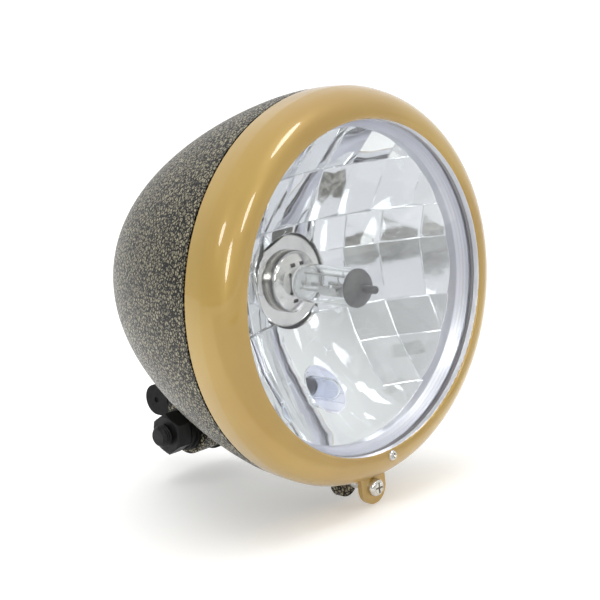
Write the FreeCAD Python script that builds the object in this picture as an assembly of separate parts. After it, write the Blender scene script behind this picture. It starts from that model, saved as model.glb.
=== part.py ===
import FreeCAD, Part
import math
import os

Vector = FreeCAD.Vector

# All lengths are in millimetres.
# The lamp is drafted about its optical axis, which is the Y axis: the lens faces -Y and +Z is up.
# At export everything is moved so that the bracket's bolt hole is at the origin.

# Trim ring: a quarter ellipse from the lip to the widest circle, then a short rear band
ring_wall = 1.4
lip_radius = 69.4
lip_roll = 1.2
lip_rear = 2.4
crown_y = -1.0
ring_wide_radius = 83.0
ring_wide_y = 14.2
ring_rear_radius = 82.6
ring_rear_y = 21.2
ring_band_sag = 0.1
ring_stations = 9

# Clamp lugs at the lowest point: a sheet tab on the ring and a cast lug on the shell, round about the screw
ring_lug_radius = 7.3
shell_lug_radius = 6.4
lug_high = 78.5
ring_lug_front = 7.0
ring_lug_rear = 9.2
shell_lug_front = 22.6
shell_lug_rear = 26.2
clamp_radius = 85.5
clamp_screw_radius = 2.0
clamp_screw_play = 0.3
clamp_head_radius = 3.9
clamp_head_height = 3.2
clamp_screw_rear = 28.4
clamp_recess_depth = 1.9
clamp_recess_reach = 2.3

# Tiny screw at the inner edge of the ring
rim_screw_x = 4.5
rim_screw_z = -71.9
rim_screw_shank = 1.1
rim_screw_play = 0.1
rim_screw_head = 2.2
rim_head_height = 1.3
rim_head_sink = 0.12
rim_screw_rear = 1.9
rim_recess_depth = 0.7
rim_recess_reach = 1.2

# Form of both pan heads: shares of the head's radius and height, and half the width of the cross
pan_flat_share = 0.55
pan_bulge_share = 0.88
pan_bulge_height = 0.28
pan_edge_height = 0.7
cross_half = 0.45

# Shell: the bowl follows r = R (1 - t^a)^(1/b), with t from the shoulder to the tip
bowl_radius = 82.3
bowl_start = 22.6
bowl_tip = 133.4
bowl_wall = 3.0
bowl_tip_wall = 2.6
bowl_power_a = 1.308
bowl_power_b = 2.037
bowl_stations = 11
rim_outer = 80.9
rim_inner = 78.6
rim_front = 13.0
shoulder_lean = -0.1

# Foot of the shell and the cross bolt that it tilts on
pivot_y = 114.0
pivot_z = -71.7
eye_radius = 12.0
foot_half = 6.5
foot_rear_lean = 10.0
foot_front_lean = 40.0
foot_reach = 48.0
foot_root_fillet = 3.0
bolt_radius = 5.0
bolt_root_radius = 4.55
bolt_play = 0.05

# Cable grommet in the lower back of the bowl, in degrees round the bowl's profile
grommet_turn = 75.5
grommet_neck = 5.5
grommet_squeeze = 0.1
grommet_flange = 8.0
grommet_bore = 3.2
grommet_out = 0.2
grommet_in = 3.9
grommet_lip = 2.2
grommet_taper = 2.4
grommet_inner_lip = 1.6

# Fasteners of the foot, from the nut's side (-X) to the head's side (+X)
washer_thick = 2.0
washer_radius = 10.0
washer_play = 0.25
spring_thick = 2.5
spring_radius = 8.9
spring_play = 0.2
spring_gap = 1.4
spring_gap_lean = 25.0
nut_thick = 8.0
nut_flats = 16.6
bolt_length = 40.0
head_thick = 6.4
head_flats = 17.0
bolt_point_chamfer = 1.0
hex_face_share = 0.96
hex_chamfer_angle = 30.0

# Bracket plate on the head's side
plate_thick = 8.0
plate_eye_radius = 13.0
arm_below = 1.5
arm_reach = 40.8
arm_fillet = 3.0
plate_hole_radius = 4.25
plate_hole_back = 22.0
plate_hole_up = 5.7
dimple_radius = 1.3
spot_radius = 10.6
spot_depth = 0.5
eye_turn_y = -0.6
eye_turn_z = -0.8
hole_y = pivot_y + plate_hole_back
hole_z = pivot_z + plate_hole_up
arm_end_radius = (plate_eye_radius + arm_below) / 2
arm_end_back = arm_reach - arm_end_radius

# Places along the bolt, worked out from the stack
nut_washer_left = -foot_half - washer_thick
spring_left = nut_washer_left - spring_thick
nut_left = spring_left - nut_thick
plate_right = foot_half + plate_thick
head_washer_left = plate_right - spot_depth
head_left = head_washer_left + washer_thick
head_right = head_left + head_thick
bolt_left = head_left - bolt_length

# Lens
lens_shoulder_y = 3.4
lens_edge_radius = 69.0
lens_outer_radius = 72.4
lens_skirt_inner = 69.8
lens_skirt_rear = 11.3
lens_front_y = -9.0
lens_wall = 3.0
lens_edge_wall = 3.3
gasket_inner = 70.4
gasket_outer = 72.2

# Reflector: y = vertex - r^2 / (4 focal)
focal = 32.8
vertex_y = 47.4
mirror_back = 3.6
mirror_stations = 7
flange_front = 11.5
flange_rear = 14.0
flange_radius = 74.5
channel_radius = 72.7
channel_front = 4.2
neck_outer = 24.0
neck_hole = 20.3
neck_rear = 51.0

# Bevelled rim of the reflector, inside the lens skirt
bevel_outer = 69.5
bevel_inner = 65.7
bevel_front = 7.3
bevel_rear = 11.0
bevel_root_outer = 13.3
bevel_root_inner = 17.3

# Facets: limits across the lamp of the two upper rows and of the two rows beside the bulb
upper_columns = (-75.0, -61.3, -47.1, -32.9, -18.7, -4.5, 11.8, 25.0, 39.2, 53.3, 67.0, 75.0)
beside_columns = (-75.0, -57.5, -43.6, -29.5, -15.0, 15.0, 29.5, 43.6, 57.5, 75.0)
wing_columns = (27.0, 43.0, 58.0, 75.0)
facet_rows = (-50.0, -31.5, -16.5, 8.8, 23.3, 46.2, 75.0)
facet_bend_x = -0.5
facet_bend_z = 0.2
facet_depth = 80.0

# Sheet springs that hold the lens unit in the ring
clip_half = 6.0
clip_sheet = 0.9
clip_outer = 77.6
clip_tip = 72.0
clip_front = 6.5
clip_turns = (45, 135, 225, 315)

# Pilot lamp and its pocket
pilot_z = -45.4
pocket_radius = 9.3
pocket_wall = 2.0
pocket_floor = 40.0
pocket_front = 20.0
pilot_hole = 6.5
pilot_play = 0.05
pilot_glass_radius = 4.8
pilot_glass_wall = 0.7
pilot_tip_y = 24.0
pilot_glass_rear = 42.0
pilot_glass_seal = 3.0
holder_front = 39.2
holder_flange = 9.0
holder_flange_thick = 2.4
holder_body = 6.8
holder_taper = 1.0
holder_length = 13.0
pilot_blade_x = 3.2
pilot_blade_half = 2.4
pilot_blade_length = 7.0

# Glass capsule of the main bulb, closed at the back by a flat pinch
capsule_radius = 8.1
capsule_wall = 0.9
capsule_front = 7.0
capsule_rear = 35.6
dome_height = 3.6
shoulder_reach_share = 0.78
shoulder_height_share = 0.62
tip_wall = 1.4
capsule_neck = 4.4
capsule_neck_y = 38.8
capsule_neck_wall = 1.2
pinch_half_x = 2.2
pinch_half_z = 3.4
pinch_rear = 47.0
pip_radius = 1.7
pip_front = -3.6

# Domed cup with a slot for the pinch, a slit on each side of it and four oblong vents round it
cup_radius = 13.2
cup_wall = 1.0
cup_front = 39.4
cup_shoulder = 42.4
cup_edge = 2.2
slot_half_x = 2.6
slot_half_z = 3.8
slit_x = 5.2
slit_half = 0.25
slit_half_z = 3.9
slit_end_radius = 0.85
vent_x = 2.6
vent_z = 7.6
vent_half_x = 1.3
vent_half_z = 0.8

# Dished flange with three lugs on the neck, and a flat on the dish
dish_front = 46.2
dish_radius = 19.7
dish_wall = 1.0
dish_edge = 1.2
dish_flat = 18.2
dish_flat_turn = -20.0
flange_thick = 1.2
flange_lug_radius = 22.6
flange_lug_half = 3.5
flange_lug_turns = (0, 120, 240)

# Frame inside the capsule: (x, z, front) of each post, and (front, z) of each coil
post_radius = 0.45
posts = ((-3.4, -1.8, 14.0), (3.4, -1.8, 26.0), (0.0, 4.2, 14.0))
spoke_radius = 0.35
frame_foot_y = 35.6
frame_foot_half = 0.65
frame_stem_radius = 1.2
shield_radius = 4.6
shield_wall = 0.5
shield_front = 15.0
shield_rear = 25.0
coils = ((17.0, 0.9), (27.0, 0.0))
coil_radius = 0.8
coil_length = 5.5
lead_radius = 0.25
lead_inset = 0.4

# Plug end of the main bulb, its wire spring and its boot
base_radius = 11.0
base_collar_radius = 13.2
base_collar_thick = 3.0
base_taper = 1.2
base_rear = 63.0
blade_rear = 72.0
blade_half = 4.0
blade_half_thick = 0.4
blade_offset = 6.5
clip_wire = 0.7
clip_wire_play = 0.05
clip_wire_side = 16.0
clip_wire_top = 10.0
clip_wire_low = -11.0
clip_wire_bow = -19.0
boot_grip = 0.05
boot_wall = 2.6
boot_sleeve = 3.6
boot_shoulder = 3.0
boot_shoulder_in = 2.2
boot_cone_radius = 23.0
boot_cone = 6.0
boot_cone_in_radius = 21.0
boot_cone_in = 4.0
boot_lip_radius = 15.0
boot_lip_wall = 2.0
boot_lip_front = 3.0
boot_lip_rear = 0.5
boot_lip_slope = 2.0
boot_inner_slope = 3.4

# How far a cutting shape runs past the faces that it opens
past = 1.0
through = 40.0
tiny = 0.01


def at(radius, y):
    return Vector(radius, y, 0)


def chain(start, *steps):
    # Joins lines and three-point arcs: a step is an end point, or a (middle, end) pair
    edges = []
    here = start
    for step in steps:
        if isinstance(step, tuple):
            middle, end = step
            edges.append(Part.Arc(here, middle, end).toShape())
        else:
            end = step
            edges.append(Part.makeLine(here, end))
        here = end
    return edges


def curve(points, first=None, last=None):
    # Smooth curve through formula points, with an optional end direction at both ends
    spline = Part.BSplineCurve()
    if first is None:
        spline.interpolate(points)
    else:
        spline.interpolate(Points=points, InitialTangent=first, FinalTangent=last)
    return spline.toShape()


def turned(edges):
    face = Part.Face(Part.Wire(edges))
    return face.revolve(Vector(0, 0, 0), Vector(0, 1, 0), 360)


def lathe(*points):
    # Turned piece with straight sides, from (radius, y) corners
    corners = [at(radius, y) for radius, y in points]
    return turned(chain(corners[0], *corners[1:], corners[0]))


def rod_y(radius, front, rear, x=0.0, z=0.0):
    return Part.makeCylinder(radius, rear - front, Vector(x, front, z), Vector(0, 1, 0))


def rod_x(radius, left, right, y=pivot_y, z=pivot_z):
    return Part.makeCylinder(radius, right - left, Vector(left, y, z), Vector(1, 0, 0))


def block(x_half, front, rear, low, high):
    return Part.makeBox(2 * x_half, rear - front, high - low, Vector(-x_half, front, low))


def tube_along(points, radius):
    # Round wire bent along a path of straight legs with mitred corners
    path = Part.makePolygon(points)
    ring = Part.Wire(Part.makeCircle(radius, points[0], points[1] - points[0]))
    return path.makePipeShell([ring], True, False, 1)


# Trim ring

def ring_ellipse(inset):
    steps = [i / (ring_stations - 1) * math.pi / 2 for i in range(ring_stations)]
    low = lip_radius + lip_roll
    reach = ring_wide_radius - low - inset
    depth = ring_wide_y - crown_y - inset
    points = [at(low + reach * math.sin(s), ring_wide_y - depth * math.cos(s)) for s in steps]
    return points


def ring_section():
    outer = ring_ellipse(0.0)
    inner = ring_ellipse(ring_wall)
    slope = math.sqrt(0.5) * lip_roll
    lip_low = at(lip_radius, crown_y + lip_roll)
    lip_mid = at(lip_radius + lip_roll - slope, crown_y + lip_roll - slope)
    mid_y = (ring_wide_y + ring_rear_y) / 2
    band_out = at(ring_wide_radius - ring_band_sag, mid_y)
    band_in = at(ring_wide_radius - ring_band_sag - ring_wall, mid_y)
    rear_out = at(ring_rear_radius, ring_rear_y)
    rear_in = at(ring_rear_radius - ring_wall, ring_rear_y)
    lip_out = at(lip_radius + lip_roll, lip_rear)
    lip_in = at(lip_radius, lip_rear)
    along = Vector(1, 0, 0)
    back = Vector(0, 1, 0)
    edges = [curve(outer, along, back)]
    edges += chain(outer[-1], (band_out, rear_out), rear_in, (band_in, inner[-1]))
    edges.append(curve(inner, along, back))
    edges += chain(inner[0], lip_out, lip_in, lip_low, (lip_mid, outer[0]))
    return edges


def lug(radius, front, rear):
    # Tab that hangs below the rim, with its end round about the clamp screw
    end = rod_y(radius, front, rear, 0, -clamp_radius)
    return end.fuse(block(radius, front, rear, -clamp_radius, -lug_high))


def ring_core():
    # Everything that the ring encloses, used to trim the lug off the inside
    inner = ring_ellipse(ring_wall)
    edges = [curve(inner, Vector(1, 0, 0), Vector(0, 1, 0))]
    rear = at(ring_rear_radius - ring_wall, ring_rear_y)
    edges += chain(inner[-1], rear, at(0, ring_rear_y), at(0, inner[0].y), inner[0])
    return turned(edges)


def trim_ring():
    clamp = lug(ring_lug_radius, ring_lug_front, ring_lug_rear).cut(ring_core())
    ring = turned(ring_section()).fuse(clamp).removeSplitter()
    ring = ring.cut(rod_y(clamp_screw_radius + clamp_screw_play, 0, ring_lug_rear + past, 0, -clamp_radius))
    return ring.cut(rim_screw_hole())


# Screws of the ring

def rim_screw_hole():
    return rod_y(rim_screw_shank + rim_screw_play, crown_y - past, lip_rear, rim_screw_x, rim_screw_z)


def cross_recess(front, depth, reach, x, z):
    wide = Part.makeBox(2 * reach, depth, 2 * cross_half, Vector(x - reach, front, z - cross_half))
    tall = Part.makeBox(2 * cross_half, depth, 2 * reach, Vector(x - cross_half, front, z - reach))
    return wide.fuse(tall)


def pan_screw(head_radius, head_front, head_rear, shank_radius, shank_rear):
    # Domed head with a flat face, on a plain shank, about the Y axis
    height = head_rear - head_front
    flat = at(head_radius * pan_flat_share, head_front)
    bulge = at(head_radius * pan_bulge_share, head_front + height * pan_bulge_height)
    edge = at(head_radius, head_front + height * pan_edge_height)
    edges = chain(at(0, head_front), flat, (bulge, edge), at(head_radius, head_rear),
                  at(shank_radius, head_rear), at(shank_radius, shank_rear), at(0, shank_rear),
                  at(0, head_front))
    return turned(edges)


def trim_screw():
    front = ring_lug_front - clamp_head_height
    screw = pan_screw(clamp_head_radius, front, ring_lug_front, clamp_screw_radius, clamp_screw_rear)
    screw.translate(Vector(0, 0, -clamp_radius))
    return screw.cut(cross_recess(front, clamp_recess_depth, clamp_recess_reach, 0, -clamp_radius))


def rim_screw():
    # The head's underside follows the ring's roll
    seat = crown_y + rim_head_sink
    front = seat - rim_head_height
    screw = pan_screw(rim_screw_head, front, seat, rim_screw_shank, rim_screw_rear)
    screw.translate(Vector(rim_screw_x, 0, rim_screw_z))
    screw = screw.cut(cross_recess(front, rim_recess_depth, rim_recess_reach, rim_screw_x, rim_screw_z))
    return screw.cut(turned(ring_section()).cut(rim_screw_hole()))


# Shell

def bowl_point(turn, inset=0.0, tip_inset=0.0):
    # Point of the bowl's profile, from 0 degrees at the shoulder to 90 at the tip
    run = math.sin(math.radians(turn)) ** (2 / bowl_power_a)
    height = max(math.cos(math.radians(turn)), 0.0) ** (2 / bowl_power_b)
    length = bowl_tip - tip_inset - bowl_start
    return at((bowl_radius - inset) * height, bowl_start + length * run)


def bowl_edge(inset, tip_inset):
    points = [bowl_point(90 * i / (bowl_stations - 1), inset, tip_inset) for i in range(bowl_stations)]
    points[-1].x = 0.0
    return points, curve(points, Vector(shoulder_lean, 1, 0), Vector(-1, 0, 0))


def bowl_cavity():
    points, edge = bowl_edge(bowl_wall, bowl_tip_wall)
    front = rim_front - past
    sides = chain(points[-1], at(0, front), at(rim_inner, front), at(rim_inner, bowl_start), points[0])
    return turned([edge] + sides)


def bowl_outside():
    points, edge = bowl_edge(0.0, 0.0)
    sides = chain(points[-1], at(0, rim_front), at(rim_outer, rim_front), at(rim_outer, bowl_start),
                  points[0])
    return turned([edge] + sides)


def foot():
    # Side view: a round eye and two lines that leave it for the bowl
    eye = Vector(-foot_half, pivot_y, pivot_z)

    def around(angle, radius=eye_radius):
        turn = math.radians(angle)
        return eye + Vector(0, math.cos(turn), math.sin(turn)) * radius

    def up(point, lean):
        turn = math.radians(lean)
        return point + Vector(0, -math.sin(turn), math.cos(turn)) * foot_reach

    rear = around(foot_rear_lean)
    front = around(180 + foot_front_lean)
    low = around((foot_rear_lean + foot_front_lean - 180) / 2)
    rear_top = up(rear, foot_rear_lean)
    front_top = up(front, foot_front_lean)
    outline = chain(rear_top, rear, (low, front), front_top, rear_top)
    return Part.Face(Part.Wire(outline)).extrude(Vector(2 * foot_half, 0, 0))


def root_edges(body):
    # Edges where the foot's two flat sides run into the bowl
    found = []
    for edge in body.Edges:
        box = edge.BoundBox
        on_side = box.XLength < tiny and abs(abs(box.Center.x) - foot_half) < tiny
        if on_side and not isinstance(edge.Curve, (Part.Line, Part.Circle)):
            found.append(edge)
    return found


def shell():
    body = bowl_outside().fuse(foot()).removeSplitter()
    body = body.makeFillet(foot_root_fillet, root_edges(body))
    body = body.fuse(lug(shell_lug_radius, shell_lug_front, shell_lug_rear)).cut(bowl_cavity())
    body = body.cut(rod_x(bolt_radius + bolt_play, -through, through))
    screw_rear = clamp_screw_rear + past
    body = body.cut(rod_y(clamp_screw_radius, shell_lug_front - past, screw_rear, 0, -clamp_radius))
    return body.cut(placed_grommet(local_rod(grommet_neck, -through / 2, through / 2)))


# Cable grommet

def local_rod(radius, low, high):
    return Part.makeCylinder(radius, high - low, Vector(0, 0, low))


def placed_grommet(shape):
    # From a local frame, where the bowl's outside is at Z = 0 and +Z leaves it, to the place on the bowl
    seat = bowl_point(grommet_turn)
    run = bowl_point(grommet_turn + 1) - bowl_point(grommet_turn - 1)
    slope = math.degrees(math.atan2(-run.x, run.y))
    moved = shape.copy()
    moved.rotate(Vector(0, 0, 0), Vector(1, 0, 0), slope - 180)
    moved.translate(Vector(0, seat.y, -seat.x))
    return moved


def cable_grommet():
    neck = local_rod(grommet_neck - grommet_squeeze, -grommet_in, grommet_out)
    top = grommet_flange - grommet_taper
    outside = Part.makeCone(grommet_flange, top, grommet_lip, Vector(0, 0, grommet_out))
    inside = local_rod(grommet_flange, -grommet_in - grommet_inner_lip, -grommet_in)
    bore = local_rod(grommet_bore, -through / 2, through / 2)
    return placed_grommet(neck.fuse(outside).fuse(inside).removeSplitter().cut(bore))


# Mount hardware

def hexagon(flats, left, right, chamfer_left, chamfer_right):
    # Hexagonal block along X with its corners turned off at the faces asked for
    corner = flats / math.sqrt(3)
    points = []
    for i in range(7):
        turn = math.radians(60 * i + 30)
        points.append(Vector(left, pivot_y + corner * math.cos(turn), pivot_z + corner * math.sin(turn)))
    body = Part.Face(Part.makePolygon(points)).extrude(Vector(right - left, 0, 0))
    face_radius = flats / 2 * hex_face_share
    slope = (corner - face_radius) * math.tan(math.radians(hex_chamfer_angle))
    profile = [(face_radius if chamfer_left else corner, left)]
    profile += [(corner, left + slope), (corner, right - slope)]
    profile += [(face_radius if chamfer_right else corner, right), (0, right), (0, left)]
    turned_off = lathe(*profile)
    turned_off.rotate(Vector(0, 0, 0), Vector(0, 0, 1), -90)
    turned_off.translate(Vector(0, pivot_y, pivot_z))
    return body.common(turned_off)


def washer(inner, outer, left, right):
    return rod_x(outer, left, right).cut(rod_x(inner, left - past, right + past))


def mount_bolt():
    # The end beyond the nut is drawn at the root of its thread
    end = rod_x(bolt_root_radius, bolt_left, nut_left)
    point = [edge for edge in end.Edges if abs(edge.BoundBox.Center.x - bolt_left) < tiny]
    end = end.makeChamfer(bolt_point_chamfer, point)
    shank = rod_x(bolt_radius, nut_left, head_left).fuse(end)
    return shank.fuse(hexagon(head_flats, head_left, head_right, False, True)).removeSplitter()


def mount_nut():
    body = hexagon(nut_flats, nut_left, spring_left, True, True)
    return body.cut(rod_x(bolt_radius, nut_left - past, spring_left + past))


def spring_washer():
    ring = washer(bolt_radius + spring_play, spring_radius, spring_left, nut_washer_left)
    gap = Part.makeBox(through, spring_gap, through, Vector(-through / 2, -spring_gap / 2, 0))
    gap.rotate(Vector(0, 0, 0), Vector(0, 0, 1), spring_gap_lean)
    gap.translate(Vector((spring_left + nut_washer_left) / 2, pivot_y, pivot_z))
    return ring.cut(gap)


def nut_washer():
    return washer(bolt_radius + washer_play, washer_radius, nut_washer_left, -foot_half)


def head_washer():
    return washer(bolt_radius + washer_play, washer_radius, head_washer_left, head_left)


def mount_bracket():
    # Side view: an eye round the bolt, and an arm to the back with a round end
    top = plate_eye_radius
    middle = (top - arm_below) / 2

    def spot(y, z):
        return Vector(foot_half, pivot_y + y, pivot_z + z)

    crown = spot(0, top)
    heel = spot(math.sqrt(top ** 2 - arm_below ** 2), -arm_below)
    outline = chain(crown, spot(arm_end_back, top), (spot(arm_reach, middle), spot(arm_end_back, -arm_below)),
                    heel, (spot(top * eye_turn_y, top * eye_turn_z), crown))
    plate = Part.Face(Part.Wire(outline)).extrude(Vector(plate_thick, 0, 0))
    corner = heel + Vector(plate_thick / 2, 0, 0)
    inner_corner = [e for e in plate.Edges if e.BoundBox.Center.distanceToPoint(corner) < tiny]
    plate = plate.makeFillet(arm_fillet, inner_corner)
    plate = plate.cut(rod_x(bolt_radius + bolt_play, 0, through))
    plate = plate.cut(rod_x(plate_hole_radius, 0, through, hole_y, hole_z))
    plate = plate.cut(rod_x(spot_radius, head_washer_left, through))
    return plate.cut(Part.makeSphere(dimple_radius, spot(arm_end_back, middle)))


# Lens unit

def sphere_radius(front, radius, edge_y):
    # Radius of the sphere that has its crown on the axis at front and passes through (radius, edge_y)
    rise = edge_y - front
    return (radius ** 2 + rise ** 2) / (2 * rise)


def dome_edge(front, radius, edge_y):
    # Arc of a dome, from its crown on the axis to its edge
    bow = sphere_radius(front, radius, edge_y)
    turn = math.asin(radius / bow) / 2
    middle = at(bow * math.sin(turn), front + bow * (1 - math.cos(turn)))
    return middle, at(radius, edge_y)


def ball(radius, y, z=0.0):
    # Sphere with its poles below and above, away from the crown of a dome
    return Part.makeSphere(radius, Vector(0, y, z))


def lens():
    # Dome between two spheres, in front of a skirt
    inner_front = lens_front_y + lens_wall
    inner_edge = lens_shoulder_y + lens_edge_wall
    outer_bow = sphere_radius(lens_front_y, lens_edge_radius, lens_shoulder_y)
    inner_bow = sphere_radius(inner_front, lens_skirt_inner, inner_edge)
    dome = rod_y(lens_outer_radius, lens_front_y - past, lens_shoulder_y)
    dome = dome.common(ball(outer_bow, lens_front_y + outer_bow))
    skirt = rod_y(lens_outer_radius, lens_shoulder_y, lens_skirt_rear)
    hollow = rod_y(lens_skirt_inner, inner_front - past, lens_skirt_rear + past)
    hollow = hollow.common(ball(inner_bow, inner_front + inner_bow))
    return dome.fuse(skirt).cut(hollow)


def lens_gasket():
    return lathe((gasket_inner, lip_rear), (gasket_outer, lip_rear), (gasket_outer, lens_shoulder_y),
                 (gasket_inner, lens_shoulder_y))


def mirror_y(radius):
    return vertex_y - radius ** 2 / (4 * focal)


def reflector_blank():
    # Solid of the reflector's back, with its rim flange and the neck for the bulb
    rim_radius = math.sqrt(4 * focal * (vertex_y + mirror_back - flange_rear))
    back = []
    for i in range(mirror_stations):
        radius = rim_radius + (neck_outer - rim_radius) * i / (mirror_stations - 1)
        back.append(at(radius, mirror_y(radius) + mirror_back))
    edges = chain(back[-1], at(neck_outer, neck_rear), at(0, neck_rear), at(0, flange_front),
                  at(flange_radius, flange_front), at(flange_radius, flange_rear), back[0])
    return turned([curve(back)] + edges)


def bend(low, high, share):
    # Quadratic through a facet's width as three control heights: share 1 keeps the parabola
    middle = (low + high) / 2

    def blossom(a, b):
        straight = middle ** 2 + middle * (a + b - 2 * middle)
        return straight + share * (a - middle) * (b - middle)

    return (blossom(low, low), blossom(low, high), blossom(high, high))


def facet(x_low, x_high, z_low, z_high, bend_x, bend_z):
    # Space in front of one facet: a biquadratic mirror patch drawn out towards the lens
    xs = (x_low, (x_low + x_high) / 2, x_high)
    zs = (z_low, (z_low + z_high) / 2, z_high)
    rise_x = bend(x_low, x_high, bend_x)
    rise_z = bend(z_low, z_high, bend_z)
    poles = []
    for i in range(3):
        row = []
        for j in range(3):
            row.append(Vector(xs[i], vertex_y - (rise_x[i] + rise_z[j]) / (4 * focal), zs[j]))
        poles.append(row)
    patch = Part.BSplineSurface()
    patch.buildFromPolesMultsKnots(poles, [3, 3], [3, 3], [0, 1], [0, 1], False, False, 2, 2)
    return patch.toShape().extrude(Vector(0, -facet_depth, 0))


def facet_row(columns, low, high):
    spaces = []
    for left, right in zip(columns[:-1], columns[1:]):
        near_x = min(abs(left), abs(right)) if left * right > 0 else 0
        near_z = min(abs(low), abs(high)) if low * high > 0 else 0
        if math.hypot(near_x, near_z) < lens_skirt_inner:
            spaces.append(facet(left, right, low, high, facet_bend_x, facet_bend_z))
    return spaces


def facets():
    # Two rows above the bulb, two beside it, two in each lower wing and a plain mirror below
    wing_low, wing_mid, wing_high, beside_high, upper_low, upper_high, top = facet_rows
    outermost = wing_columns[-1]
    wings_left = tuple(-x for x in reversed(wing_columns))
    spaces = facet_row(upper_columns, upper_high, top)
    spaces += facet_row(upper_columns, upper_low, upper_high)
    spaces += facet_row(beside_columns, beside_high, upper_low)
    spaces += facet_row(beside_columns, wing_high, beside_high)
    for columns in (wings_left, wing_columns):
        spaces += facet_row(columns, wing_mid, wing_high)
        spaces += facet_row(columns, wing_low, wing_mid)
    spaces.append(facet(-wing_columns[0], wing_columns[0], wing_low, wing_high, 1, 1))
    spaces.append(facet(-outermost, outermost, -top, wing_low, 1, 1))
    return spaces


def reflector_rim():
    # Bevel in front of the facets, and the wall of the channel that the lens skirt stands in
    bevel = lathe((bevel_inner, bevel_rear), (bevel_outer, bevel_front), (bevel_outer, bevel_root_outer),
                  (bevel_inner, bevel_root_inner))
    wall = lathe((channel_radius, channel_front), (flange_radius, channel_front),
                 (flange_radius, flange_rear), (channel_radius, flange_rear))
    return [bevel, wall]


def reflector():
    pocket = rod_y(pocket_radius + pocket_wall, pocket_front, pocket_floor + pocket_wall, 0, pilot_z)
    body = reflector_blank().fuse(pocket).cut(facets()).fuse(reflector_rim())
    body = body.cut(rod_y(neck_hole, 0, neck_rear + past))
    body = body.cut(rod_y(pocket_radius, 0, pocket_floor, 0, pilot_z))
    return body.cut(rod_y(pilot_hole, 0, pocket_floor + pocket_wall + past, 0, pilot_z))


def retainer_clips():
    # Bent sheet springs from the ring's inner wall to the back of the reflector's flange
    def corner(radius, y):
        return Vector(radius, y, -clip_half)

    riser = clip_outer - clip_sheet
    back = flange_rear + clip_sheet
    start = corner(clip_tip, flange_rear)
    section = chain(start, corner(riser, flange_rear), corner(riser, clip_front),
                    corner(clip_outer, clip_front), corner(clip_outer, back), corner(clip_tip, back), start)
    clip = Part.Face(Part.Wire(section)).extrude(Vector(0, 0, 2 * clip_half))
    return Part.makeCompound([spun(clip, turn) for turn in clip_turns])


# Main bulb

def spun(shape, turn):
    # Copy turned about the lamp's axis
    moved = shape.copy()
    moved.rotate(Vector(0, 0, 0), Vector(0, 1, 0), turn)
    return moved


def capsule_outside():
    top = capsule_front - dome_height
    bulge = at(capsule_radius * shoulder_reach_share, capsule_front - dome_height * shoulder_height_share)
    turn = math.sqrt(0.5)
    rear_bulge = at(capsule_neck + (capsule_radius - capsule_neck) * turn,
                    capsule_rear + (capsule_neck_y - capsule_rear) * turn)
    return turned(chain(at(0, top), at(pip_radius, top), (bulge, at(capsule_radius, capsule_front)),
                        at(capsule_radius, capsule_rear), (rear_bulge, at(capsule_neck, capsule_neck_y)),
                        at(0, capsule_neck_y), at(0, top)))


def capsule_cavity():
    radius = capsule_radius - capsule_wall
    neck = capsule_neck - capsule_wall
    rear = capsule_neck_y - capsule_neck_wall
    top = capsule_front - dome_height + tip_wall
    dome = dome_edge(top, radius, capsule_front)
    turn = math.sqrt(0.5)
    rear_bulge = at(neck + (radius - neck) * turn, capsule_rear + (rear - capsule_rear) * turn)
    return turned(chain(at(0, top), dome, at(radius, capsule_rear), (rear_bulge, at(neck, rear)), at(0, rear),
                        at(0, top)))


def bulb_glass():
    pip_ball = pip_front + pip_radius
    pip = rod_y(pip_radius, pip_ball, capsule_front - dome_height).fuse(ball(pip_radius, pip_ball))
    pinch = block(pinch_half_x, capsule_neck_y - past, pinch_rear, -pinch_half_z, pinch_half_z)
    return capsule_outside().fuse([pip, pinch]).removeSplitter().cut(capsule_cavity())


def circle_at(edge, radius, y):
    box = edge.BoundBox
    return box.YLength < tiny and abs(box.Center.y - y) < tiny and abs(box.XLength - 2 * radius) < tiny


def bulb_collar():
    outer = dome_edge(cup_front, cup_radius, cup_shoulder)
    inner = dome_edge(cup_front + cup_wall, cup_radius - cup_wall, cup_shoulder + cup_wall)
    cup = turned(chain(at(0, cup_front), outer, at(cup_radius, dish_front),
                       at(cup_radius - cup_wall, dish_front), inner[1],
                       (inner[0], at(0, cup_front + cup_wall)), at(0, cup_front)))
    shoulder = [edge for edge in cup.Edges if circle_at(edge, cup_radius, cup_shoulder)]
    cup = cup.makeFillet(cup_edge, shoulder)
    return cup.cut(cup_openings())


def cup_openings():
    front = cup_front - past
    rear = cup_shoulder + cup_wall
    openings = [block(slot_half_x, front, rear, -slot_half_z, slot_half_z)]
    slit = block(slit_half, front, rear, -slit_half_z, slit_half_z)
    vent = block(vent_half_x, front, rear, -vent_half_z, vent_half_z)
    for side in (-1, 1):
        openings.append(slit.translated(Vector(side * slit_x, 0, 0)))
        for level in (-1, 1):
            openings.append(rod_y(slit_end_radius, front, rear, side * slit_x, level * slit_half_z))
            openings.append(vent.translated(Vector(side * vent_x, 0, level * vent_z)))
    return openings


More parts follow.
